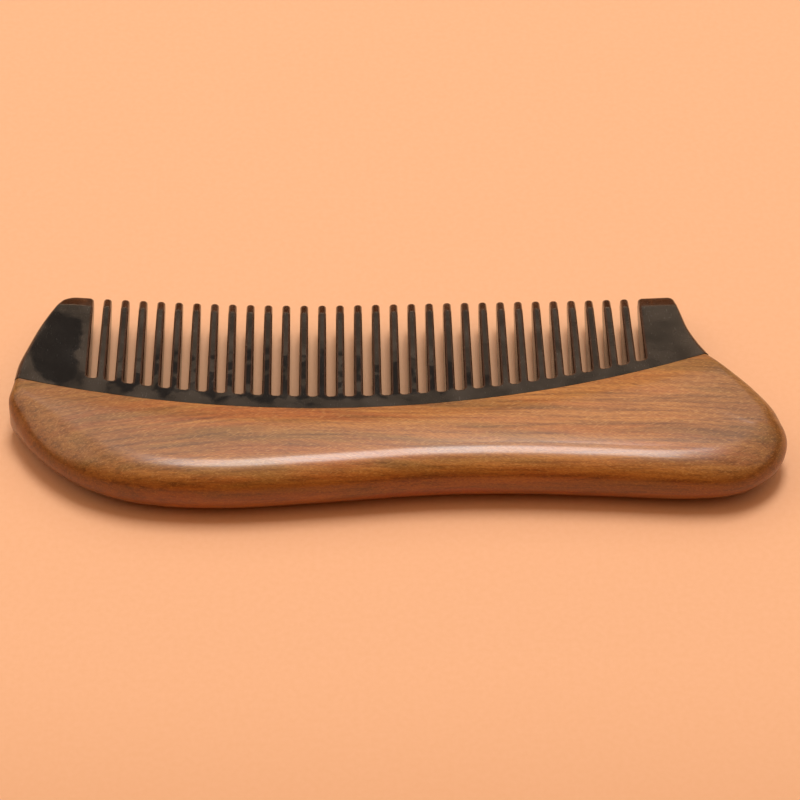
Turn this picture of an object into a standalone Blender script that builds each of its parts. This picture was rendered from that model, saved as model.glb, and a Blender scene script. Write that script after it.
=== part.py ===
"""A two-material beard comb: a plate of black horn, sawn into teeth, let into a shaped wooden back.

The comb lies flat on its side. +X runs along it, +Y points from the back towards the tooth tips and
+Z is up. The origin is under the middle of its box, on the surface that it lies on. Both faces are
alike, so every height is measured from the middle plane.
"""
import math

import bmesh
import bpy
from mathutils import Vector
from mathutils.geometry import interpolate_bezier

MM = 0.001

# Overall size
LENGTH = 148.2 * MM
WIDTH = 55.0 * MM
THICKNESS = 12.0 * MM

# Teeth
TOOTH_PITCH = 3.518 * MM
SLOT_AT_ROOT = 1.80 * MM
SLOT_AT_TIP = 1.95 * MM
LEFT_GUARD_TOP = 5.4 * MM
RIGHT_GUARD_TOP = 6.9 * MM
TIP_BEVEL_LENGTH = 3.6 * MM

# Thickness of the horn along a tooth, and how far the wood starts to thin before the joint
JOINT_THINNING = 1.0 * MM
ROOT_THINNING = 2.0 * MM
JOINT_THICKNESS = THICKNESS - JOINT_THINNING
ROOT_THICKNESS = THICKNESS - ROOT_THINNING
TOOTH_THICKNESS = 4.2 * MM
TIP_THICKNESS = 1.9 * MM
THINNING_RUN = 4.5 * MM

# Rounded edges
END_ROUNDING = 1.5 * MM
END_TURN = 9.0 * MM
HORN_EDGE_BREAK = 0.4 * MM
TIP_CORNER = 0.5 * MM
ROOT_CORNER = 0.4 * MM

# Tongue and groove, and the glue in the bottom of the groove
TONGUE_THICKNESS = 3.0 * MM
TONGUE_LENGTH = 5.0 * MM
TONGUE_END_MARGIN = 12.0 * MM
GLUE_DEPTH = 0.6 * MM
CLEARANCE = 0.3 * MM
OVERLAP = 1.0 * MM

# Fineness of the mesh
SEAM = 0.02 * MM
SMOOTH_ANGLE = math.radians(35)
BACK_STATIONS = 64
ROUNDING_STEPS = 5
GUARD_COLUMNS = 4
SPINE_STEPS = 40

# The curves of the comb, drawn in millimetres at its nominal size and scaled to LENGTH and WIDTH.
# The joint and the line of the tooth roots are arcs through a left, a lowest and a right point.
WOOD_EDGE = (
    (-72.9, -0.3), (-73.4, -2.4), (-73.8, -4.6), (-72.7, -7.8), (-69.5, -13.3), (-64.2, -18.9),
    (-57.6, -23.2), (-47.8, -26.1), (-32.9, -26.9), (-15.1, -25.5), (4.8, -23.4), (21.7, -22.8),
    (39.7, -23.2), (55.6, -23.9), (65.1, -22.8), (71.6, -18.3), (74.4, -11.9), (73.0, -6.3), (69.0, -0.8),
    (64.6, 3.9), (60.6, 7.9),
)
LEFT_HORN_EDGE = ((-72.9, -0.3), (-72.4, 4.4), (-71.0, 9.9), (-69.3, 15.7), (-67.3, 21.1), (-64.7, 26.8))
RIGHT_HORN_EDGE = ((60.6, 7.9), (58.8, 12.4), (57.3, 17.1), (56.3, 22.5), (55.3, 28.1))
TIP_LINE = (
    (-64.7, 26.8), (-56.2, 26.2), (-34.9, 25.1), (-15.1, 24.9), (9.8, 25.9), (39.6, 27.1), (55.3, 28.1),
)
JOINT_POINTS = ((-72.9, -0.3), (-13.6, -8.0), (60.6, 7.9))
ROOT_POINTS = ((-57.9, 0.3), (-11.2, -4.2), (47.0, 6.1))

# How far the rounding of the back reaches inwards, as a multiple of half the thickness, against the
# share of the way round its edge: least where the edge meets the horn, most on the two shoulders.
ROUNDING_REACH = (
    (0.0, 0.25), (0.031, 0.67), (0.073, 1.35), (0.114, 1.6), (0.166, 1.25), (0.233, 1.0), (0.4, 1.0),
    (0.6, 1.0), (0.70, 1.0), (0.756, 1.2), (0.803, 1.5), (0.855, 1.5), (0.911, 0.75), (1.0, 0.25),
)


def smooth_curve(points, steps=8):
    """Points along a curve that passes smoothly through the given points."""
    knots = [Vector(point) for point in points]
    ends = [2 * knots[0] - knots[1]] + knots + [2 * knots[-1] - knots[-2]]
    curve = [knots[0]]
    for before, start, end, after in zip(ends, ends[1:], ends[2:], ends[3:]):
        handle_out = start + (end - before) / 6
        handle_in = end - (after - start) / 6
        curve += interpolate_bezier(start, handle_out, handle_in, end, steps + 1)[1:]
    return [Vector((point.x, point.y)) for point in curve]


def distances_along(curve):
    """The distance from the first point of a curve to each of its points."""
    distances = [0.0]
    for start, end in zip(curve, curve[1:]):
        distances.append(distances[-1] + (end - start).length)
    return distances


def point_at(curve, distance):
    """The point at a distance along a curve."""
    for start, end in zip(curve, curve[1:]):
        step = (end - start).length
        if distance <= step:
            return start.lerp(end, distance / step)
        distance -= step
    return curve[-1].copy()


def height_at(curve, x):
    """The Y of a curve that runs along X, at one X."""
    for start, end in zip(curve, curve[1:]):
        if x <= end.x:
            break
    return start.y + (end.y - start.y) * (x - start.x) / (end.x - start.x)


def crossing(curve, y):
    """The X at which a curve that rises along Y reaches one Y."""
    return height_at([Vector((point.y, point.x)) for point in curve], y)


def scale_to_size():
    """The move that takes the drawn curves to LENGTH by WIDTH, centred on the origin."""
    drawn = smooth_curve(WOOD_EDGE) + smooth_curve(LEFT_HORN_EDGE) + smooth_curve(RIGHT_HORN_EDGE)
    drawn += smooth_curve(TIP_LINE)
    low = Vector((min(p.x for p in drawn), min(p.y for p in drawn)))
    high = Vector((max(p.x for p in drawn), max(p.y for p in drawn)))
    middle = (low + high) / 2
    size = high - low

    def scaled(points):
        return [
            Vector(((x - middle.x) * LENGTH / size.x, (y - middle.y) * WIDTH / size.y))
            for x, y in points
        ]

    return scaled


class Arc:
    """A shallow arc through three points, whose centre is far out on the tooth side."""

    def __init__(self, left, low, right):
        def perpendicular(start, end):
            middle = (start + end) / 2
            return middle, middle + (end - start).orthogonal()

        near, far = perpendicular(left, low), perpendicular(low, right)
        self.centre = intersect_far(*near, *far)
        self.radius = (low - self.centre).length

    def height(self, x, outset=0.0):
        """The Y of the arc at one X, or of the arc moved away from the teeth by outset."""
        radius = self.radius + outset
        return self.centre.y - math.sqrt(radius**2 - (x - self.centre.x) ** 2)

    def depth(self, point):
        """How far a point lies from the arc, positive on the tooth side."""
        return self.radius - (point - self.centre).length


def intersect_far(first_start, first_end, second_start, second_end):
    """Where two long lines cross, each given by two points on it."""
    first, second = first_end - first_start, second_end - second_start
    gap = second_start - first_start
    share = (gap.x * second.y - gap.y * second.x) / (first.x * second.y - first.y * second.x)
    return first_start + first * share


def blend(value, knots):
    """The value on straight lines between (place, height) knots, level beyond the ends."""
    for (start, low), (end, high) in zip(knots, knots[1:]):
        if value <= end:
            share = max(0.0, (value - start) / (end - start))
            return low + (high - low) * share
    return knots[-1][1]


def ease(share):
    """A share from 0 to 1 that starts and ends level."""
    share = min(1.0, max(0.0, share))
    return share * share * (3 - 2 * share)


SCALED = scale_to_size()
JOINT = Arc(*SCALED(JOINT_POINTS))
ROOTS = Arc(*SCALED(ROOT_POINTS))
TIPS = smooth_curve(SCALED(TIP_LINE))
LEFT_EDGE = smooth_curve(SCALED(LEFT_HORN_EDGE))
RIGHT_EDGE = smooth_curve(SCALED(RIGHT_HORN_EDGE))
BACK_EDGE = smooth_curve(SCALED(WOOD_EDGE))
REACH = smooth_curve(ROUNDING_REACH)

FIRST_SLOT_SIDE = TIPS[0].x + LEFT_GUARD_TOP
LAST_SLOT_SIDE = TIPS[-1].x - RIGHT_GUARD_TOP
TEETH = round((LAST_SLOT_SIDE - FIRST_SLOT_SIDE - SLOT_AT_TIP) / TOOTH_PITCH)
FIRST_SLOT = (FIRST_SLOT_SIDE + LAST_SLOT_SIDE - TEETH * TOOTH_PITCH) / 2


def wood_half_thickness(point):
    """Half the thickness of the back, which thins a little towards the joint."""
    knots = ((-THINNING_RUN, THICKNESS / 2), (0.0, JOINT_THICKNESS / 2))
    return blend(JOINT.depth(point), knots)


def horn_half_thickness(point):
    """Half the thickness of the horn, from the joint past the roots to the thinned tips."""
    root = ROOTS.height(point.x)
    if point.y <= root:
        share = (root - point.y) / (root - JOINT.height(point.x))
        return (ROOT_THICKNESS + (JOINT_THICKNESS - ROOT_THICKNESS) * share) / 2
    tip = height_at(TIPS, point.x)
    knots = (
        (root, ROOT_THICKNESS / 2),
        (tip - TIP_BEVEL_LENGTH, TOOTH_THICKNESS / 2),
        (tip, TIP_THICKNESS / 2),
    )
    return blend(point.y, knots)


def material(name, colour, roughness):
    """A plain material with a colour in linear RGB."""
    made = bpy.data.materials.new(name)
    made.use_nodes = True
    shader = made.node_tree.nodes["Principled BSDF"]
    shader.inputs["Base Color"].default_value = (*colour, 1.0)
    shader.inputs["Roughness"].default_value = roughness
    shader.inputs["Metallic"].default_value = 0.0
    return made


def object_from(bm, name, its_material=None):
    """An object in the scene from a bmesh, with its faces turned outwards."""
    bmesh.ops.recalc_face_normals(bm, faces=bm.faces)
    mesh = bpy.data.meshes.new(name)
    bm.to_mesh(mesh)
    bm.free()
    made = bpy.data.objects.new(name, mesh)
    bpy.context.scene.collection.objects.link(made)
    if its_material:
        mesh.materials.append(its_material)
        mesh.shade_smooth()
        mesh.set_sharp_from_angle(angle=SMOOTH_ANGLE)
    else:
        made.hide_render = True
        made.display_type = "WIRE"
    return made


def combine(target, other, operation):
    """Joins a helper to an object, or cuts it away."""
    modifier = target.modifiers.new(operation.title(), "BOOLEAN")
    modifier.operation = operation
    modifier.solver = "EXACT"
    modifier.object = other


def grid(columns, rows, place):
    """A bmesh sheet of columns by rows of squares, each corner set by place(column, row)."""
    bm = bmesh.new()
    bmesh.ops.create_grid(bm, x_segments=columns, y_segments=rows, size=1.0)
    corners = {}
    for vert in bm.verts:
        column = round((vert.co.x + 1) / 2 * columns)
        row = round((vert.co.y + 1) / 2 * rows)
        corners[column, row] = vert
        vert.co = place(column, row)
    return bm, corners


def back_section(station):
    """The upper half of one cross-section of the back, from the joint over to the outer edge."""
    total = distances_along(BACK_EDGE)[-1]
    distance = total * station / BACK_STATIONS
    edge = point_at(BACK_EDGE, distance)
    from_end = min(distance, total - distance)
    reach = height_at(REACH, station / BACK_STATIONS) * THICKNESS / 2
    drop = min(reach, THICKNESS / 2)
    step = total / BACK_STATIONS / 4
    tangent = point_at(BACK_EDGE, distance + step) - point_at(BACK_EDGE, distance - step)
    inward = Vector((-tangent.y, tangent.x)).normalized()

    left, right = BACK_EDGE[0], BACK_EDGE[-1]
    chord = right.x - left.x - 2 * END_ROUNDING
    joint_x = left.x + END_ROUNDING + chord * station / BACK_STATIONS
    joint_point = Vector((joint_x, JOINT.height(joint_x, CLEARANCE)))
    along_joint = (joint_point - edge).normalized()
    inward = along_joint.lerp(inward, ease(from_end / END_TURN)).normalized()

    section = []
    for step in range(ROUNDING_STEPS + 1):
        angle = math.pi / 2 * step / ROUNDING_STEPS
        point = edge + inward * reach * (1 - math.cos(angle))
        level = wood_half_thickness(point) - drop * (1 - math.sin(angle))
        section.append((point, level))
    ridge = section[-1][0]
    flat_end = joint_point + (ridge - joint_point).normalized() * min(
        THINNING_RUN, (ridge - joint_point).length / 2
    )
    for point in (flat_end, joint_point):
        section.append((point, wood_half_thickness(point)))
    return section


def wood_back(its_material):
    """The wooden back, lofted through its cross-sections, with the groove cut in its joint face."""
    sections = []
    for station in range(BACK_STATIONS + 1):
        half = back_section(station)
        upper = [(x, y, THICKNESS / 2 + level) for (x, y), level in half]
        lower = [(x, y, THICKNESS / 2 - level) for (x, y), level in half]
        sections.append(upper[::-1] + lower + upper[-1:])
    around = len(sections[0]) - 1
    bm, _ = grid(BACK_STATIONS, around, lambda station, place: sections[station][place])
    bmesh.ops.remove_doubles(bm, verts=bm.verts, dist=SEAM)
    bmesh.ops.holes_fill(bm, edges=bm.edges)
    back = object_from(bm, "wood_back", its_material)
    depth = TONGUE_LENGTH + 2 * CLEARANCE + GLUE_DEPTH
    combine(back, tongue_slab("groove_cutter", CLEARANCE, depth), "DIFFERENCE")
    return back


def arc_slab(name, near, far, thickness, side_margin, its_material=None):
    """A slab on the middle plane that follows the joint, between two distances behind it."""
    left = BACK_EDGE[0].x + side_margin
    right = BACK_EDGE[-1].x - side_margin

    def place(column, row):
        x = left + (right - left) * column / SPINE_STEPS
        return x, JOINT.height(x, far if row else near), (THICKNESS - thickness) / 2

    bm, _ = grid(SPINE_STEPS, 1, place)
    rise = bmesh.ops.extrude_face_region(bm, geom=bm.faces)["geom"]
    raised = [item for item in rise if isinstance(item, bmesh.types.BMVert)]
    bmesh.ops.translate(bm, verts=raised, vec=(0, 0, thickness))
    return object_from(bm, name, its_material)


def tongue_slab(name, clearance, length):
    """The tongue, or with a clearance the groove that it goes into."""
    thickness = TONGUE_THICKNESS + 2 * clearance
    return arc_slab(name, -OVERLAP, length, thickness, TONGUE_END_MARGIN - clearance)


def plate_columns():
    """For each column line of the horn plate, where it meets the roots, where it meets the tips,
    and whether the strip to the right of it is a slot."""
    columns = []
    for step in range(GUARD_COLUMNS):
        columns.append(("left", step / GUARD_COLUMNS, False))
    for slot in range(TEETH + 1):
        middle = FIRST_SLOT + slot * TOOTH_PITCH
        columns.append((middle - SLOT_AT_ROOT / 2, middle - SLOT_AT_TIP / 2, True))
        columns.append((middle + SLOT_AT_ROOT / 2, middle + SLOT_AT_TIP / 2, False))
    for step in range(1, GUARD_COLUMNS + 1):
        columns.append(("right", step / GUARD_COLUMNS, False))
    return columns


def horn_plate(its_material):
    """The horn plate: one sheet with the slots left out, thickened, its edges broken, and the
    tongue joined on."""
    columns = plate_columns()
    first_slot, last_slot = columns[GUARD_COLUMNS], columns[-GUARD_COLUMNS - 1]
    shares = (0.0, 0.25, 0.5, 0.75, 1.0)
    root_row = 1
    tip_row = root_row + len(shares)

    def slot_side(column, row):
        at_root, at_tip, _ = column
        if row <= root_row:
            x = at_root
            return Vector((x, (JOINT if row == 0 else ROOTS).height(x)))
        low = ROOTS.height(at_root)
        high = height_at(TIPS, at_tip)
        bevel = high - TIP_BEVEL_LENGTH
        y = high if row == tip_row else low + (bevel - low) * shares[row - root_row]
        return Vector((at_root + (at_tip - at_root) * (y - low) / (high - low), y))

    def place(index, row):
        at_root, at_tip, _ = columns[index]
        if at_root not in ("left", "right"):
            point = slot_side(columns[index], row)
        else:
            on_left, share = at_root == "left", at_tip
            if on_left:
                point = outer_point(LEFT_EDGE, row).lerp(slot_side(first_slot, row), share)
            else:
                point = outer_point(RIGHT_EDGE, row).lerp(slot_side(last_slot, row), 1 - share)
            if row == 0:
                point.y = JOINT.height(point.x)
            if row == tip_row:
                point.y = height_at(TIPS, point.x)
        return point.x, point.y, THICKNESS / 2

    def outer_point(edge, row):
        if row == 0:
            return edge[0].copy()
        if row == tip_row:
            return edge[-1].copy()
        low, high = edge[0].y, edge[-1].y
        band = ROOTS.height(edge[0].x) - JOINT.height(edge[0].x)
        bevel = high - TIP_BEVEL_LENGTH
        y = low + band + (bevel - low - band) * shares[row - root_row]
        return Vector((crossing(edge, y), y))

    bm, corners = grid(len(columns) - 1, tip_row, place)
    slots = [
        face
        for index, column in enumerate(columns)
        for row in range(root_row, tip_row)
        if column[2]
        for face in corners[index, row].link_faces
        if corners[index + 1, row + 1] in face.verts
    ]
    bmesh.ops.delete(bm, geom=slots, context="FACES")

    lower = list(bm.verts)
    rise = bmesh.ops.extrude_face_region(bm, geom=bm.faces)["geom"]
    upper = [item for item in rise if isinstance(item, bmesh.types.BMVert)]
    for verts, sign in ((lower, -1), (upper, 1)):
        for vert in verts:
            vert.co.z += sign * horn_half_thickness(vert.co.xy)
    bmesh.ops.recalc_face_normals(bm, faces=bm.faces)

    round_corners(bm, corners, columns, root_row, tip_row)
    bm.normal_update()
    rims = [edge for edge in bm.edges if is_rim(edge)]
    bmesh.ops.bevel(
        bm, geom=rims, offset=HORN_EDGE_BREAK, offset_type="OFFSET", affect="EDGES", segments=1,
        profile=0.5, material=-1,
    )
    plate = object_from(bm, "horn_tooth_plate", its_material)
    combine(plate, tongue_slab("tongue", 0.0, TONGUE_LENGTH), "UNION")
    return plate


def is_upright(edge):
    """Whether an edge stands along Z."""
    start, end = (vert.co for vert in edge.verts)
    return (end.xy - start.xy).length < SEAM


def is_rim(edge):
    """Whether an edge runs between a face of the plate and one of its walls, off the joint."""
    flat = [abs(face.normal.z) > 0.7 for face in edge.link_faces]
    on_joint = all(abs(JOINT.depth(vert.co.xy)) < SEAM for vert in edge.verts)
    return any(flat) and not all(flat) and not on_joint


def round_corners(bm, corners, columns, root_row, tip_row):
    """Rounds the tooth tips and the bottoms of the slots, seen from above."""
    at_tips, at_roots = [], []
    for index, column in enumerate(columns):
        beside_slot = column[2] or columns[index - 1][2]
        if beside_slot or index in (0, len(columns) - 1):
            at_tips += upright_edges(corners[index, tip_row])
        if beside_slot:
            at_roots += upright_edges(corners[index, root_row])
    for edges, radius in ((at_tips, TIP_CORNER), (at_roots, ROOT_CORNER)):
        bmesh.ops.bevel(
            bm, geom=edges, offset=radius, offset_type="OFFSET", affect="EDGES", segments=2,
            profile=0.5, material=-1,
        )


def upright_edges(vert):
    """The upright edges at a corner of the plate."""
    return [edge for edge in vert.link_edges if is_upright(edge)]


def build():
    for obj in list(bpy.data.objects):
        bpy.data.objects.remove(obj)
    horn = material("black_horn", (0.030, 0.024, 0.020), 0.22)
    wood = material("sandalwood", (0.36, 0.17, 0.08), 0.35)
    glue = material("cured_glue", (0.42, 0.26, 0.10), 0.30)
    horn_plate(horn)
    wood_back(wood)
    near = TONGUE_LENGTH + CLEARANCE
    arc_slab("glue_line", near, near + GLUE_DEPTH, TONGUE_THICKNESS, TONGUE_END_MARGIN, glue)


build()
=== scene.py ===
"""The looks of a beard comb: polished black horn teeth let into a waxed sandalwood back.

Everything is in metres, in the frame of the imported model: +X along the comb, +Y from the back
towards the tooth tips, +Z up from the surface that the comb lies on.
"""

import math

import bmesh
import bpy
from mathutils import Matrix, Vector
from mathutils.geometry import interpolate_bezier


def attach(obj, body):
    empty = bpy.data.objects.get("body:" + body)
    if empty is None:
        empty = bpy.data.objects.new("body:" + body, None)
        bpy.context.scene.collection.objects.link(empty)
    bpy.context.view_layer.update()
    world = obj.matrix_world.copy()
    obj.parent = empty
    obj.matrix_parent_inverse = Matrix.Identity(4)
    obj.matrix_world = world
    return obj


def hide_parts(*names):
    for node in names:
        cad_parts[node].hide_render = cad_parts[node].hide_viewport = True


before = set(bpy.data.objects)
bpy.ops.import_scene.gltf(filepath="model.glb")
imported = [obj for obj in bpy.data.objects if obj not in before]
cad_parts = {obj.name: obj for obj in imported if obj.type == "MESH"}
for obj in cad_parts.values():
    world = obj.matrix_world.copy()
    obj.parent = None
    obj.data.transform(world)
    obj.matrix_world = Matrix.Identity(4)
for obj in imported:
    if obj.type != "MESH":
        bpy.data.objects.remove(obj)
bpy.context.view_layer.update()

MM = 0.001

# Sizes of the comb, the same as in the solid model
LENGTH = 148.2 * MM
WIDTH = 55.0 * MM
THICKNESS = 12.0 * MM
TOOTH_PITCH = 3.518 * MM
SLOT_AT_ROOT = 1.80 * MM
SLOT_AT_TIP = 1.95 * MM
LEFT_GUARD_TOP = 5.4 * MM
RIGHT_GUARD_TOP = 6.9 * MM
TIP_BEVEL_LENGTH = 3.6 * MM
JOINT_THINNING = 1.0 * MM
JOINT_THICKNESS = THICKNESS - JOINT_THINNING
TOOTH_THICKNESS = 4.2 * MM
TIP_THICKNESS = 1.9 * MM
THINNING_RUN = 4.5 * MM
THINNING_BLEND = 1.5 * MM
END_ROUNDING = 1.5 * MM
END_TURN = 9.0 * MM
TONGUE_THICKNESS = 3.0 * MM
TONGUE_LENGTH = 5.0 * MM
TONGUE_END_MARGIN = 12.0 * MM
GLUE_DEPTH = 0.6 * MM
CLEARANCE = 0.3 * MM
OVERLAP = 1.0 * MM

# Finer details that only the finished comb has
JOINT_HAIRLINE = 0.06 * MM
TOOTH_TIP_RADIUS = 0.72 * MM
GUARD_TIP_RADIUS = 0.9 * MM
LEFT_CORNER_RADIUS = 2.2 * MM
RIGHT_CORNER_RADIUS = 1.2 * MM
SLOT_END_RADIUS = 0.72 * MM
TOOTH_EDGE_RADIUS = 0.50 * MM
GUARD_EDGE_RADIUS = 1.3 * MM
TIP_EDGE_RADIUS = 0.58 * MM
CROWN = 0.28 * MM
CROWN_RUN = 9.0 * MM
BEVEL_BLEND = 0.40 * MM
GUARD_RIM_BAND = 0.6 * MM
GUARD_RIM_FADE = 3.0 * MM
TIP_RIM_START = 1.7 * MM
TIP_RIM_RUN = 1.2 * MM
TIP_BROWN_RUN = 1.0 * MM
TIP_BROWN_LEAD = 0.2 * MM
TOUCHING = 0.02 * MM

# Fineness of the meshes
CURVE_STEPS = 16
BACK_STATIONS = 300
ROUNDING_STEPS = 14
FACE_STEPS = 12
THINNING_STEPS = 6
TOOTH_COLUMNS = 2
GUARD_SHARES = (0.0, 0.45, 0.55, 0.78)
TOOTH_ROWS = 16
BEVEL_SHARES = (0.09, 0.135, 0.18, 0.225, 0.27, 0.40, 1.0)
SPINE_ROWS = 3
ARC_STEPS = 80
TANGENT_SPAN = 1.5 * MM
FACE_SPACING = 1.6
CORNER_SEGMENTS = 6
RIM_SEGMENTS = 5
SHARP_ANGLE = math.radians(40)
FLOOR_HALF_SIZE = 2.5

WOOD_EDGE = (
    (-72.9, -0.3), (-73.4, -2.4), (-73.8, -4.6), (-72.7, -7.8), (-69.5, -13.3), (-64.2, -18.9),
    (-57.6, -23.2), (-47.8, -26.1), (-32.9, -26.9), (-15.1, -25.5), (4.8, -23.4), (21.7, -22.8),
    (39.7, -23.2), (55.6, -23.9), (65.1, -22.8), (71.6, -18.3), (74.4, -11.9), (73.0, -6.3), (69.0, -0.8),
    (64.6, 3.9), (60.6, 7.9),
)
LEFT_HORN_EDGE = ((-72.9, -0.3), (-72.4, 4.4), (-71.0, 9.9), (-69.3, 15.7), (-67.3, 21.1), (-64.7, 26.8))
RIGHT_HORN_EDGE = ((60.6, 7.9), (58.8, 12.4), (57.3, 17.1), (56.3, 22.5), (55.3, 28.1))
TIP_LINE = (
    (-64.7, 26.8), (-56.2, 26.2), (-34.9, 25.1), (-15.1, 24.9), (9.8, 25.9), (39.6, 27.1), (55.3, 28.1),
)
JOINT_POINTS = ((-72.9, -0.3), (-13.6, -8.0), (60.6, 7.9))
ROOT_POINTS = ((-57.9, 0.3), (-11.2, -4.2), (47.0, 6.1))

# How far the rounding of the back reaches inwards, as a multiple of half the thickness, against the
# share of the way round its edge: least where the edge meets the horn, most on the two shoulders.
ROUNDING_REACH = (
    (0.0, 0.25), (0.031, 0.67), (0.073, 1.35), (0.114, 1.6), (0.166, 1.25), (0.233, 1.0), (0.4, 1.0),
    (0.6, 1.0), (0.70, 1.0), (0.756, 1.2), (0.803, 1.5), (0.855, 1.5), (0.911, 0.75), (1.0, 0.25),
)


# ---------------------------------------------------------------- curves of the comb

def smooth_curve(points, steps=CURVE_STEPS):
    """Points along a curve that passes smoothly through the given points."""
    knots = [Vector(point) for point in points]
    ends = [2 * knots[0] - knots[1]] + knots + [2 * knots[-1] - knots[-2]]
    curve = [knots[0]]
    for before, start, end, after in zip(ends, ends[1:], ends[2:], ends[3:]):
        handle_out = start + (end - before) / 6
        handle_in = end - (after - start) / 6
        curve += interpolate_bezier(start, handle_out, handle_in, end, steps + 1)[1:]
    return [Vector((point.x, point.y)) for point in curve]


def distances_along(curve):
    """The distance from the first point of a curve to each of its points."""
    distances = [0.0]
    for start, end in zip(curve, curve[1:]):
        distances.append(distances[-1] + (end - start).length)
    return distances


def point_at(curve, distance):
    """The point at a distance along a curve."""
    for start, end in zip(curve, curve[1:]):
        step = (end - start).length
        if distance <= step:
            return start.lerp(end, distance / step)
        distance -= step
    return curve[-1].copy()


def height_at(curve, x):
    """The Y of a curve that runs along X, at one X."""
    for start, end in zip(curve, curve[1:]):
        if x <= end.x:
            break
    return start.y + (end.y - start.y) * (x - start.x) / (end.x - start.x)


def crossing(curve, y):
    """The X at which a curve that rises along Y reaches one Y."""
    return height_at([Vector((point.y, point.x)) for point in curve], y)


def scale_to_size():
    """The move that takes the drawn curves to LENGTH by WIDTH, centred on the origin."""
    drawn = smooth_curve(WOOD_EDGE) + smooth_curve(LEFT_HORN_EDGE) + smooth_curve(RIGHT_HORN_EDGE)
    drawn += smooth_curve(TIP_LINE)
    low = Vector((min(p.x for p in drawn), min(p.y for p in drawn)))
    high = Vector((max(p.x for p in drawn), max(p.y for p in drawn)))
    middle = (low + high) / 2
    size = high - low

    def scaled(points):
        return [
            Vector(((x - middle.x) * LENGTH / size.x, (y - middle.y) * WIDTH / size.y))
            for x, y in points
        ]

    return scaled


class Arc:
    """A shallow arc through three points, whose centre is far out on the tooth side."""

    def __init__(self, left, low, right):
        def bisector(start, end):
            return (start + end) / 2, (end - start).orthogonal()

        (first, along), (second, across) = bisector(left, low), bisector(low, right)
        gap = second - first
        share = (gap.x * across.y - gap.y * across.x) / (along.x * across.y - along.y * across.x)
        self.centre = first + along * share
        self.radius = (low - self.centre).length

    def height(self, x, outset=0.0):
        """The Y of the arc at one X, or of the arc moved away from the teeth by outset."""
        radius = self.radius + outset
        return self.centre.y - math.sqrt(radius**2 - (x - self.centre.x) ** 2)

    def depth(self, point):
        """How far a point lies from the arc, positive on the tooth side."""
        return self.radius - (point - self.centre).length


def ease(share):
    """A share from 0 to 1 that starts and ends level."""
    share = min(1.0, max(0.0, share))
    return share * share * (3 - 2 * share)


def soft_ramp(value, run):
    """Zero below zero and value above it, with the corner rounded over a run on both sides."""
    if value <= -run:
        return 0.0
    if value >= run:
        return value
    return (value + run) ** 2 / (4 * run)


SCALED = scale_to_size()
JOINT = Arc(*SCALED(JOINT_POINTS))
ROOTS = Arc(*SCALED(ROOT_POINTS))
TIPS = smooth_curve(SCALED(TIP_LINE))
LEFT_EDGE = smooth_curve(SCALED(LEFT_HORN_EDGE))
RIGHT_EDGE = smooth_curve(SCALED(RIGHT_HORN_EDGE))
BACK_EDGE = smooth_curve(SCALED(WOOD_EDGE))
BACK_DISTANCES = distances_along(BACK_EDGE)
REACH = smooth_curve(ROUNDING_REACH)

FIRST_SLOT_SIDE = TIPS[0].x + LEFT_GUARD_TOP
LAST_SLOT_SIDE = TIPS[-1].x - RIGHT_GUARD_TOP
TEETH = round((LAST_SLOT_SIDE - FIRST_SLOT_SIDE - SLOT_AT_TIP) / TOOTH_PITCH)
FIRST_SLOT = (FIRST_SLOT_SIDE + LAST_SLOT_SIDE - TEETH * TOOTH_PITCH) / 2


def wood_half_thickness(point):
    """Half the thickness of the back, which thins a little towards the joint."""
    thinning = (THICKNESS - JOINT_THICKNESS) / 2 / THINNING_RUN
    return THICKNESS / 2 - thinning * soft_ramp(JOINT.depth(point) + THINNING_RUN, THINNING_BLEND)


def horn_half_thickness(point):
    """Half the thickness of the horn: one even slope from the joint to the thinned tips."""
    tip = height_at(TIPS, point.x)
    joint = JOINT.height(point.x)
    bevel = tip - TIP_BEVEL_LENGTH
    slope = (JOINT_THICKNESS - TOOTH_THICKNESS) / 2 / (bevel - joint)
    steeper = (TOOTH_THICKNESS - TIP_THICKNESS) / 2 / TIP_BEVEL_LENGTH - slope
    level = JOINT_THICKNESS / 2 - slope * (point.y - joint)
    return level - steeper * soft_ramp(point.y - bevel, BEVEL_BLEND)


# ---------------------------------------------------------------- making pieces

def object_from(bm, name):
    """An object in the scene from a bmesh, with its faces turned outwards."""
    bmesh.ops.recalc_face_normals(bm, faces=bm.faces)
    mesh = bpy.data.meshes.new(name)
    bm.to_mesh(mesh)
    bm.free()
    mesh.shade_smooth()
    made = bpy.data.objects.new(name, mesh)
    bpy.context.scene.collection.objects.link(made)
    return made


def settle(piece):
    """Makes a piece's modifiers part of its mesh."""
    bpy.context.view_layer.update()
    shaped = piece.evaluated_get(bpy.context.evaluated_depsgraph_get())
    mesh = bpy.data.meshes.new_from_object(shaped)
    piece.modifiers.clear()
    piece.data = mesh


def combine(piece, other, operation):
    """Joins a helper to a piece, or cuts it away, and removes the helper."""
    modifier = piece.modifiers.new(operation.title(), "BOOLEAN")
    modifier.operation = operation
    modifier.solver = "EXACT"
    modifier.object = other
    settle(piece)
    bpy.data.objects.remove(other)


def grid(columns, rows, place):
    """A bmesh sheet of columns by rows of squares, each corner set by place(column, row)."""
    bm = bmesh.new()
    bmesh.ops.create_grid(bm, x_segments=columns, y_segments=rows, size=1.0)
    corners = {}
    for vert in bm.verts:
        column = round((vert.co.x + 1) / 2 * columns)
        row = round((vert.co.y + 1) / 2 * rows)
        corners[column, row] = vert
        vert.co = place(column, row)
    return bm, corners


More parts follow.
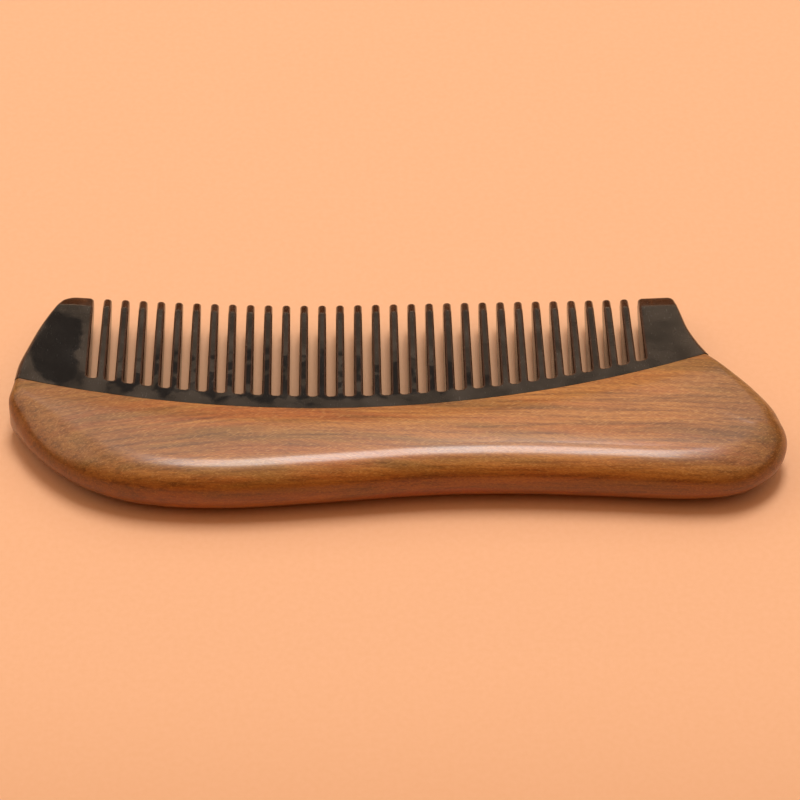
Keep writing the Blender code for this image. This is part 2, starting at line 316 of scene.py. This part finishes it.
def arc_slab(name, near, far, thickness, side_margin):
    """A slab on the middle plane that follows the joint, between two distances behind it."""
    left = BACK_EDGE[0].x + side_margin
    right = BACK_EDGE[-1].x - side_margin

    def place(column, row):
        x = left + (right - left) * column / ARC_STEPS
        return x, JOINT.height(x, far if row else near), (THICKNESS - thickness) / 2

    bm, _ = grid(ARC_STEPS, 1, place)
    rise = bmesh.ops.extrude_face_region(bm, geom=bm.faces)["geom"]
    raised = [item for item in rise if isinstance(item, bmesh.types.BMVert)]
    bmesh.ops.translate(bm, verts=raised, vec=(0, 0, thickness))
    return object_from(bm, name)


# ---------------------------------------------------------------- the wooden back

def back_section(station):
    """The upper half of one cross-section of the back, from the joint over to the outer edge."""
    total = BACK_DISTANCES[-1]
    distance = total * station / BACK_STATIONS
    edge = point_at(BACK_EDGE, distance)
    from_end = min(distance, total - distance)
    reach = height_at(REACH, station / BACK_STATIONS) * THICKNESS / 2
    crown = CROWN * min(1.0, reach / (THICKNESS / 2))
    drop = min(reach, THICKNESS / 2 - crown)
    ahead = point_at(BACK_EDGE, min(total, distance + TANGENT_SPAN))
    tangent = ahead - point_at(BACK_EDGE, max(0, distance - TANGENT_SPAN))
    inward = Vector((-tangent.y, tangent.x)).normalized()

    left, right = BACK_EDGE[0], BACK_EDGE[-1]
    chord = right.x - left.x - 2 * END_ROUNDING
    joint_x = left.x + END_ROUNDING + chord * station / BACK_STATIONS
    joint_point = Vector((joint_x, JOINT.height(joint_x, JOINT_HAIRLINE)))
    along_joint = (joint_point - edge).normalized()
    inward = along_joint.lerp(inward, ease(from_end / END_TURN)).normalized()

    section = []
    for step in range(ROUNDING_STEPS + 1):
        angle = math.pi / 2 * step / ROUNDING_STEPS
        point = edge + inward * reach * (1 - math.cos(angle))
        level = wood_half_thickness(point) - crown - drop * (1 - math.sin(angle))
        section.append((point, level))
    ridge = section[-1][0]
    to_ridge = ridge - joint_point
    thinning = min(THINNING_RUN + THINNING_BLEND, to_ridge.length / 2)
    thinning_end = thinning / max(to_ridge.length, MM / 100)
    shares = [
        1 + (thinning_end - 1) * (step / FACE_STEPS) ** FACE_SPACING for step in range(1, FACE_STEPS + 1)
    ]
    shares += [thinning_end * (1 - step / THINNING_STEPS) for step in range(1, THINNING_STEPS + 1)]
    for share in shares:
        point = joint_point + to_ridge * share
        sunk = crown * max(0.0, 1 - (point - ridge).length / CROWN_RUN) ** 2
        section.append((point, wood_half_thickness(point) - sunk))
    return section


def wooden_back():
    """The back, lofted through its cross-sections, with the groove for the tongue."""
    sections = []
    for station in range(BACK_STATIONS + 1):
        half = back_section(station)
        upper = [(x, y, THICKNESS / 2 + level) for (x, y), level in half]
        lower = [(x, y, THICKNESS / 2 - level) for (x, y), level in half]
        sections.append(upper[::-1] + lower + upper[-1:])
    around = len(sections[0]) - 1
    bm, _ = grid(BACK_STATIONS, around, lambda station, place: sections[station][place])
    bmesh.ops.remove_doubles(bm, verts=bm.verts, dist=0.01 * MM)
    bmesh.ops.holes_fill(bm, edges=bm.edges)
    back = object_from(bm, "sandalwood_back")
    depth = TONGUE_LENGTH + 2 * CLEARANCE + GLUE_DEPTH
    thickness = TONGUE_THICKNESS + 2 * CLEARANCE
    groove = arc_slab("groove_cutter", -OVERLAP, depth, thickness, TONGUE_END_MARGIN - CLEARANCE)
    combine(back, groove, "DIFFERENCE")
    back.data.set_sharp_from_angle(angle=SHARP_ANGLE)
    return back


# ---------------------------------------------------------------- the horn tooth plate

def plate_columns():
    """For each column line of the horn plate, where it meets the roots, where it meets the tips,
    and whether the strip to the right of it is a slot."""
    columns = [("left", share, False) for share in GUARD_SHARES]
    for slot in range(TEETH + 1):
        middle = FIRST_SLOT + slot * TOOTH_PITCH
        columns.append((middle - SLOT_AT_ROOT / 2, middle - SLOT_AT_TIP / 2, True))
        start = middle + SLOT_AT_ROOT / 2, middle + SLOT_AT_TIP / 2
        columns.append((*start, False))
        if slot < TEETH:
            width = TOOTH_PITCH - SLOT_AT_ROOT, TOOTH_PITCH - SLOT_AT_TIP
            for step in range(1, TOOTH_COLUMNS):
                share = step / TOOTH_COLUMNS
                columns.append((start[0] + width[0] * share, start[1] + width[1] * share, False))
    columns += [("right", 1 - share, False) for share in reversed(GUARD_SHARES)]
    return columns


def horn_plate():
    """The horn plate: one sheet with the slots left out, thickened to its wedge, its corners and
    rims rounded, and the tongue joined on."""
    columns = plate_columns()
    first_slot, last_slot = columns[len(GUARD_SHARES)], columns[-len(GUARD_SHARES) - 1]
    root_row = SPINE_ROWS
    bevel_row = root_row + TOOTH_ROWS
    tip_row = bevel_row + len(BEVEL_SHARES)

    def level(low_joint, low_root, high, row):
        """The Y of one row between the joint, the roots and the tips."""
        bevel = high - TIP_BEVEL_LENGTH - 2 * BEVEL_BLEND
        if row <= root_row:
            return low_joint + (low_root - low_joint) * row / root_row
        if row <= bevel_row:
            return low_root + (bevel - low_root) * (row - root_row) / TOOTH_ROWS
        return bevel + (high - bevel) * BEVEL_SHARES[row - bevel_row - 1]

    def slot_side(column, row):
        at_root, at_tip, _ = column
        high = height_at(TIPS, at_tip)
        root = ROOTS.height(at_root)
        y = level(JOINT.height(at_root), root, high, row)
        return Vector((at_root + (at_tip - at_root) * max(0.0, (y - root) / (high - root)), y))

    def outer_point(edge, row):
        band = ROOTS.height(edge[0].x) - JOINT.height(edge[0].x)
        y = level(edge[0].y, edge[0].y + band, edge[-1].y, row)
        return Vector((crossing(edge, y), y))

    def place(index, row):
        at_root, at_tip, _ = columns[index]
        if at_root == "left":
            point = outer_point(LEFT_EDGE, row).lerp(slot_side(first_slot, row), at_tip)
        elif at_root == "right":
            point = outer_point(RIGHT_EDGE, row).lerp(slot_side(last_slot, row), 1 - at_tip)
        else:
            point = slot_side(columns[index], row)
        if row == 0:
            point.y = JOINT.height(point.x)
        if row == tip_row:
            point.y = height_at(TIPS, point.x)
        return point.x, point.y, THICKNESS / 2

    bm, corners = grid(len(columns) - 1, tip_row, place)
    slots = [
        face
        for index, column in enumerate(columns)
        for row in range(root_row, tip_row)
        if column[2]
        for face in corners[index, row].link_faces
        if corners[index + 1, row + 1] in face.verts
    ]
    bmesh.ops.delete(bm, geom=slots, context="FACES")

    lower = list(bm.verts)
    rise = bmesh.ops.extrude_face_region(bm, geom=bm.faces)["geom"]
    upper = [item for item in rise if isinstance(item, bmesh.types.BMVert)]
    for verts, sign in ((lower, -1), (upper, 1)):
        for vert in verts:
            vert.co.z += sign * horn_half_thickness(vert.co.xy)
    bmesh.ops.recalc_face_normals(bm, faces=bm.faces)
    round_corners(bm, corners, columns, root_row, tip_row)
    bm.normal_update()
    weigh_rims(bm)

    plate = object_from(bm, "horn_teeth")
    rounding = plate.modifiers.new("rims", "BEVEL")
    rounding.width = GUARD_EDGE_RADIUS
    rounding.segments = RIM_SEGMENTS
    rounding.limit_method = "WEIGHT"
    rounding.use_clamp_overlap = False
    settle(plate)
    tongue = arc_slab("tongue", -OVERLAP, TONGUE_LENGTH, TONGUE_THICKNESS, TONGUE_END_MARGIN)
    combine(plate, tongue, "UNION")
    plate.data.set_sharp_from_angle(angle=SHARP_ANGLE)
    return plate


def is_upright(edge):
    """Whether an edge stands along Z."""
    start, end = (vert.co for vert in edge.verts)
    return (end.xy - start.xy).length < TOUCHING


def round_corners(bm, corners, columns, root_row, tip_row):
    """Rounds the tooth tips, the guards and the ends of the slots, seen from above."""
    last = len(columns) - 1
    guard = len(GUARD_SHARES)
    tip_radii = {
        0: LEFT_CORNER_RADIUS, guard: GUARD_TIP_RADIUS,
        last - guard: GUARD_TIP_RADIUS, last: RIGHT_CORNER_RADIUS,
    }
    rounds = {}
    for index, column in enumerate(columns):
        beside_slot = column[2] or columns[index - 1][2]
        places = [(root_row, SLOT_END_RADIUS)] if beside_slot else []
        if beside_slot or index in tip_radii:
            places.append((tip_row, tip_radii.get(index, TOOTH_TIP_RADIUS)))
        for row, radius in places:
            uprights = [edge for edge in corners[index, row].link_edges if is_upright(edge)]
            rounds.setdefault(radius, []).extend(uprights)
    for radius, edges in rounds.items():
        bmesh.ops.bevel(
            bm, geom=edges, offset=radius, offset_type="OFFSET", affect="EDGES",
            segments=CORNER_SEGMENTS, profile=0.5, material=-1,
        )


def weigh_rims(bm):
    """Marks how far each rim of the plate is rounded: most on the outside of the guards."""
    weight = bm.edges.layers.float.new("bevel_weight_edge")
    for edge in bm.edges:
        flat = [abs(face.normal.z) > 0.7 for face in edge.link_faces]
        on_joint = all(abs(JOINT.depth(vert.co.xy)) < TOUCHING for vert in edge.verts)
        if not any(flat) or all(flat) or on_joint:
            continue
        middle = (edge.verts[0].co + edge.verts[1].co).xy / 2
        from_left = middle.x - crossing(LEFT_EDGE, middle.y)
        from_right = crossing(RIGHT_EDGE, middle.y) - middle.x
        radius = TOOTH_EDGE_RADIUS
        if min(from_left, from_right) < GUARD_RIM_BAND:
            low, high = JOINT.height(middle.x), height_at(TIPS, middle.x) - GUARD_RIM_FADE
            share = ease((middle.y - low) / (high - low))
            radius = GUARD_EDGE_RADIUS + (TOOTH_EDGE_RADIUS - GUARD_EDGE_RADIUS) * share
        to_tip = ease((middle.y - height_at(TIPS, middle.x) + TIP_RIM_START) / TIP_RIM_RUN)
        edge[weight] = (radius + (TIP_EDGE_RADIUS - radius) * to_tip) / GUARD_EDGE_RADIUS


# ---------------------------------------------------------------- materials

def linear(hex_colour):
    """Linear RGBA from an sRGB hex colour."""
    channels = [int(hex_colour[start:start + 2], 16) / 255 for start in (1, 3, 5)]
    return [c / 12.92 if c <= 0.04045 else ((c + 0.055) / 1.055) ** 2.4 for c in channels] + [1.0]


def add(tree, kind, links=None, **settings):
    """Adds a node with its settings, its plain input values and its links."""
    node = tree.nodes.new("ShaderNode" + kind)
    for name, value in settings.items():
        setattr(node, name, value)
    for socket, value in (links or {}).items():
        if isinstance(value, bpy.types.NodeSocket):
            tree.links.new(value, node.inputs[socket])
        else:
            node.inputs[socket].default_value = value
    return node


def ramp(tree, factor, *stops):
    """A colour ramp through (place, sRGB hex) stops."""
    node = add(tree, "ValToRGB", {0: factor})
    elements = node.color_ramp.elements
    while len(elements) < len(stops):
        elements.new(0.5)
    for element, (place, colour) in zip(elements, stops):
        element.position = place
        element.color = linear(colour)
    return node.outputs[0]


def new_material(name):
    """A material with an empty tree but for its shader, and its tree and shader."""
    made = bpy.data.materials.new(name)
    made.use_nodes = True
    return made, made.node_tree, made.node_tree.nodes["Principled BSDF"]


def mapped(tree, value, *ends):
    """A value moved from one range to another: from low, from high, and to low and to high if given."""
    return add(tree, "MapRange", {0: value, **dict(enumerate(ends, 1))}).outputs[0]


def window(tree, value, low, high):
    """A soft step that rises from 0 to 1 between low and high."""
    return add(tree, "MapRange", {0: value, 1: low, 2: high}, interpolation_type="SMOOTHSTEP").outputs[0]


def maths(tree, operation, *values):
    """One sum on up to three values."""
    return add(tree, "Math", dict(enumerate(values)), operation=operation).outputs[0]


def mixed(tree, factor, first, second, kind="MIX"):
    """Two colours blended by a factor."""
    return add(tree, "MixRGB", {0: factor, 1: first, 2: second}, blend_type=kind).outputs[0]


def sandalwood():
    """Close-grained sandalwood, sanded round and waxed: long soft bands of golden brown, fine feathery
    fibres that catch the light at a slant, short dark pores, and the clear gloss of rubbed wax."""
    made, tree, shader = new_material("waxed_sandalwood")
    coordinates = add(tree, "TexCoord")
    place, facing = coordinates.outputs["Object"], coordinates.outputs["Normal"]
    flatness = maths(tree, "ABSOLUTE", add(tree, "SeparateXYZ", {0: facing}).outputs[2])
    x, y, z = add(tree, "SeparateXYZ", {0: place}).outputs

    # The grain fans out towards the left end and wanders a little on its way along the comb
    on_fan = maths(tree, "MINIMUM", maths(tree, "SUBTRACT", x, -0.012), 0.0)
    fanned = maths(tree, "MULTIPLY_ADD", maths(tree, "MULTIPLY", on_fan, on_fan), 2.6, y)
    wander = add(tree, "TexNoise", {"Vector": place, "Scale": 22.0, "Detail": 1.0}).outputs[0]
    wandering = maths(tree, "MULTIPLY_ADD", wander, 0.006, fanned)
    grain = add(tree, "CombineXYZ", {0: x, 1: wandering, 2: z}).outputs[0]

    def fibres(along, across, detail, roughness, turn=0.0):
        """Noise drawn out along the grain, with its sizes in millimetres."""
        scale = (1000 / along, 1000 / across, 1000 / across)
        turned = add(tree, "Mapping", {"Vector": grain, "Rotation": (0, 0, math.radians(turn))}).outputs[0]
        drawn = add(tree, "Mapping", {"Vector": turned, "Scale": scale}).outputs[0]
        return add(tree, "TexNoise", {
            "Vector": drawn, "Scale": 1.0, "Detail": detail, "Roughness": roughness,
        }).outputs[0]

    def tinted(colour, value, low, high, strength, tint):
        """A colour taken part of the way to a tint where a value passes from low to high."""
        amount = maths(tree, "MULTIPLY", window(tree, value, low, high), strength)
        return mixed(tree, amount, colour, linear(tint))

    bands = fibres(along=75, across=6.0, detail=3, roughness=0.5)
    colour = ramp(tree, bands, (0.32, "#94622A"), (0.43, "#AC6F30"), (0.54, "#BB7F3C"), (0.66, "#AE672C"))
    colour = tinted(colour, fibres(38, 2.6, 2, 0.6), 0.50, 0.66, 0.30, "#AE6026")
    colour = tinted(colour, fibres(30, 3.4, 2, 0.5, turn=2), 0.52, 0.68, 0.45, "#84682F")
    from_middle = maths(tree, "ABSOLUTE", maths(tree, "SUBTRACT", x, 0.004))
    colour = tinted(colour, from_middle, 0.042, 0.068, 0.45, "#6C4C28")
    colour = tinted(colour, fibres(34, 1.3, 2, 0.55, turn=-3), 0.55, 0.67, 0.36, "#643C16")
    streaks = fibres(along=16, across=0.7, detail=4, roughness=0.62)
    shade = ramp(tree, streaks, (0.34, "#9C8060"), (0.52, "#F6F0E8"), (0.66, "#FFFFFF"))
    colour = mixed(tree, 0.50, colour, shade, "MULTIPLY")
    feather = fibres(along=1.3, across=0.24, detail=2, roughness=0.6, turn=20)
    shade = ramp(tree, feather, (0.38, "#A88662"), (0.56, "#FFFFFF"))
    colour = mixed(tree, 0.38, colour, shade, "MULTIPLY")
    # Painted glints: short light flecks slanting across the grain, where the feathery fibres would catch the
    # light
    colour = tinted(colour, fibres(1.1, 0.22, 1, 0.5, turn=-24), 0.55, 0.70, 0.27, "#D6A464")
    colour = tinted(colour, fibres(2.6, 0.20, 1, 0.4, turn=4), 0.63, 0.73, 0.40, "#52300F")
    # Painted shade: the rounded sides, found by how far they turn away from facing up, are darkened and
    # deepened in colour
    painted_side_shade = maths(tree, "MULTIPLY", window(tree, flatness, 0.85, 0.30), 0.95)
    colour = mixed(tree, painted_side_shade, colour, linear("#E0C058"), "MULTIPLY")
    tree.links.new(colour, shader.inputs["Base Color"])

    tree.links.new(mapped(tree, streaks, 0.3, 0.7, 0.33, 0.45), shader.inputs["Roughness"])
    shader.inputs["IOR"].default_value = 1.48
    shader.inputs["Coat Weight"].default_value = 0.45
    shader.inputs["Coat Roughness"].default_value = 0.18
    relief = maths(tree, "MULTIPLY_ADD", feather, 0.5, streaks)
    bump = add(tree, "Bump", {"Strength": 0.22, "Distance": 0.05 * MM, "Height": relief})
    tree.links.new(bump.outputs[0], shader.inputs["Normal"])
    return made


def black_horn():
    """Natural black horn, sawn, filed and buffed: dark grey-brown, lightened in part by painted sheen, with
    nearly black clouds of painted dark reflection on the left guard and along the roots, glossy, and warm brown
    where light gets through its thin tips and rims."""
    made, tree, shader = new_material("buffed_black_horn")
    coordinates = add(tree, "TexCoord")
    place, facing = coordinates.outputs["Object"], coordinates.outputs["Normal"]
    flatness = maths(tree, "ABSOLUTE", add(tree, "SeparateXYZ", {0: facing}).outputs[2])
    x, y, _ = add(tree, "SeparateXYZ", {0: place}).outputs

    def cloud(centre, reach, wavy):
        """1 inside a soft oval cloud, in metres, with a wavy outline."""
        across = maths(tree, "DIVIDE", maths(tree, "SUBTRACT", x, centre[0]), reach[0])
        along = maths(tree, "DIVIDE", maths(tree, "SUBTRACT", y, centre[1]), reach[1])
        squares = maths(tree, "MULTIPLY_ADD", across, across, maths(tree, "MULTIPLY", along, along))
        return window(tree, maths(tree, "MULTIPLY_ADD", wavy, 2.6, squares), 2.55, 2.05)

    waves = add(tree, "TexNoise", {"Vector": place, "Scale": 150.0, "Detail": 2.0, "Roughness": 0.5}).outputs[0]
    # Painted reflection: the nearly black clouds on the left guard and along the roots paint dark reflections
    # there, and the grey of the plain horn around them is partly painted sheen
    dark_reflection_on_guard = cloud((-0.0655, 0.0085), (0.0050, 0.0115), waves)
    dark_reflection_on_roots = cloud((-0.022, 0.001), (0.036, 0.0075), waves)
    speckle = add(tree, "TexNoise", {"Vector": place, "Scale": 340.0, "Detail": 1.0}).outputs[0]
    broken = maths(tree, "MULTIPLY", dark_reflection_on_roots, window(tree, speckle, 0.42, 0.52))
    dark = maths(tree, "MAXIMUM", dark_reflection_on_guard, broken)
    plain = ramp(tree, waves, (0.35, "#2B2620"), (0.65, "#3D362F"))
    body = mixed(tree, dark, plain, linear("#0C0908"))

    drawn = add(tree, "Mapping", {"Vector": place, "Scale": (900, 90, 900)}).outputs[0]
    layers = add(tree, "TexNoise", {"Vector": drawn, "Scale": 1.0, "Detail": 3.0, "Roughness": 0.6}).outputs[0]
    tip_brown = ramp(tree, layers, (0.30, "#2A1307"), (0.55, "#40200B"), (0.75, "#542E12"))
    rim_brown = ramp(tree, flatness, (0.30, "#1E0F07"), (0.60, "#341A0B"), (0.90, "#3C2010"))
    colour = mixed(tree, window(tree, flatness, 0.985, 0.955), body, rim_brown)
    tip = add(tree, "Attribute", attribute_name="thin_tip").outputs["Fac"]
    colour = mixed(tree, maths(tree, "MULTIPLY", tip, 0.92), colour, tip_brown)
    tree.links.new(colour, shader.inputs["Base Color"])

    scratches = add(tree, "Mapping", {"Vector": place, "Scale": (6500, 260, 6500), "Rotation": (0, 0, 0.25)})
    marks = add(tree, "TexNoise", {"Vector": scratches.outputs[0], "Scale": 1.0, "Detail": 2.0}).outputs[0]
    gloss = mapped(tree, waves, 0.35, 0.65, 0.17, 0.25)
    roughness = maths(tree, "ADD", gloss, mapped(tree, marks, 0.62, 0.75, 0.0, 0.10))
    tree.links.new(roughness, shader.inputs["Roughness"])
    shader.inputs["IOR"].default_value = 1.54
    uneven = add(tree, "TexNoise", {"Vector": place, "Scale": 160.0, "Detail": 1.0}).outputs[0]
    wave = add(tree, "Bump", {"Strength": 0.2, "Distance": 0.2 * MM, "Height": uneven}).outputs[0]
    bump = add(tree, "Bump", {"Strength": 0.06, "Distance": 0.02 * MM, "Height": marks, "Normal": wave})
    tree.links.new(bump.outputs[0], shader.inputs["Normal"])
    return made


def cured_glue():
    """Cured amber wood glue: a hard, slightly cloudy bead with a skin that isn't quite even."""
    made, tree, shader = new_material("cured_amber_glue")
    place = add(tree, "TexCoord").outputs["Object"]
    cloudy = add(tree, "TexNoise", {"Vector": place, "Scale": 700.0, "Detail": 3.0}).outputs[0]
    tree.links.new(ramp(tree, cloudy, (0.35, "#8A5A22"), (0.65, "#B98038")), shader.inputs["Base Color"])
    shader.inputs["Roughness"].default_value = 0.32
    bump = add(tree, "Bump", {"Strength": 0.2, "Distance": 0.05 * MM, "Height": cloudy})
    tree.links.new(bump.outputs[0], shader.inputs["Normal"])
    return made


def peach_paper():
    """Smooth matt backdrop paper in pale peach, with painted shade that darkens it towards its front edge."""
    made, tree, shader = new_material("peach_paper")
    place = add(tree, "TexCoord").outputs["Object"]
    tooth = add(tree, "TexNoise", {"Vector": place, "Scale": 900.0, "Detail": 2.0}).outputs[0]
    paper = ramp(tree, tooth, (0.3, "#EBB68E"), (0.7, "#EDB992"))
    # Painted shade: the paper darkens towards its front edge, standing in for light that falls off there
    front = window(tree, add(tree, "SeparateXYZ", {0: place}).outputs[1], -0.050, -0.170)
    colour = mixed(tree, front, paper, linear("#D09A6E"))
    tree.links.new(colour, shader.inputs["Base Color"])
    shader.inputs["Roughness"].default_value = 0.9
    shader.inputs["Specular IOR Level"].default_value = 0.2
    return made


# ---------------------------------------------------------------- pieces on the frame

def mark_thin_tips(plate):
    """Stores how far each point of the plate is into the thinned tips, where light gets through."""
    mesh = plate.data
    layer = mesh.attributes.new("thin_tip", "FLOAT", "POINT")
    values = []
    for vert in mesh.vertices:
        start = height_at(TIPS, vert.co.x) - TIP_BEVEL_LENGTH
        share = (vert.co.y - start + TIP_BROWN_LEAD) / TIP_BROWN_RUN
        values.append(ease(share) if vert.co.y > 0 else 0.0)
    layer.data.foreach_set("value", values)


def put_on(piece, its_material, node=None):
    """Gives a piece its material and its place on the frame."""
    piece.data.materials.clear()
    piece.data.materials.append(its_material)
    if node:
        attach(piece, "root")
        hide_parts(node)


teeth = horn_plate()
mark_thin_tips(teeth)
put_on(teeth, black_horn(), "horn_tooth_plate")
back = wooden_back()
put_on(back, sandalwood(), "wood_back")
put_on(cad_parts["glue_line"], cured_glue())


# ---------------------------------------------------------------- floor, camera and lights

def aimed(distance, azimuth, elevation, target=(0, 0, 0)):
    """A matrix at a distance from a target, in a direction, that looks at it. Azimuth 0 is behind
    the comb, on its tooth side, and grows towards -X."""
    turn, rise = math.radians(azimuth), math.radians(elevation)
    direction = Vector((-math.sin(turn) * math.cos(rise), math.cos(turn) * math.cos(rise), math.sin(rise)))
    place = Vector(target) + direction * distance
    return Matrix.Translation(place) @ direction.to_track_quat("Z", "Y").to_matrix().to_4x4()


def soft_box(name, distance, azimuth, elevation, size, radiance, colour):
    """A rectangular soft light with an even radiance over its size."""
    data = bpy.data.lights.new(name, "AREA")
    data.shape = "RECTANGLE"
    data.size, data.size_y = size
    data.energy = radiance * math.pi * size[0] * size[1]
    data.color = linear(colour)[:3]
    light = bpy.data.objects.new(name, data)
    light.matrix_world = aimed(distance, azimuth, elevation)
    bpy.context.scene.collection.objects.link(light)


def set_the_scene():
    """The paper floor, the camera, the soft lights and the dim warm surroundings."""
    bm = bmesh.new()
    bmesh.ops.create_grid(bm, x_segments=1, y_segments=1, size=FLOOR_HALF_SIZE)
    floor = object_from(bm, "backdrop_floor")
    put_on(floor, peach_paper())

    camera_data = bpy.data.cameras.new("camera")
    camera_data.lens = 148.5
    camera_data.sensor_width = 36.0
    camera_data.clip_start = 0.01
    camera = bpy.data.objects.new("camera", camera_data)
    turn = Matrix.Rotation(math.radians(-2.239), 4, "Z")
    tilt = Matrix.Rotation(math.radians(44.5), 4, "X")
    roll = Matrix.Rotation(math.radians(2.033), 4, "Z")
    camera.matrix_world = Matrix.Translation((-0.016881, -0.445253, 0.458480)) @ turn @ tilt @ roll
    bpy.context.scene.collection.objects.link(camera)
    bpy.context.scene.camera = camera

    soft_box("key", 1.6, -8, 77, (0.46, 0.74), 13.5, "#FFFFFF")
    soft_box("dome", 0.95, 180, 84, (1.7, 1.4), 0.70, "#FFCC98")
    soft_box("back_softbox", 1.2, 0, 51, (2.2, 0.52), 1.0, "#FFF6EC")
    soft_box("back_wall", 1.3, 0, 29, (2.2, 0.30), 0.14, "#FFF4E8")
    soft_box("back_strip", 1.2, 0, 17, (2.0, 0.06), 2.6, "#FFE4C4")
    soft_box("left_window", 1.0, 84, 38, (0.8, 0.8), 1.0, "#FFF0E0")
    soft_box("right_window", 1.0, -88, 40, (0.7, 0.7), 0.6, "#FFF2E4")

    world = bpy.data.worlds.new("studio")
    world.use_nodes = True
    world.node_tree.nodes["Background"].inputs[0].default_value = linear("#FFC090")
    world.node_tree.nodes["Background"].inputs[1].default_value = 0.06
    bpy.context.scene.world = world
    bpy.context.scene.view_settings.view_transform = "Standard"


set_the_scene()
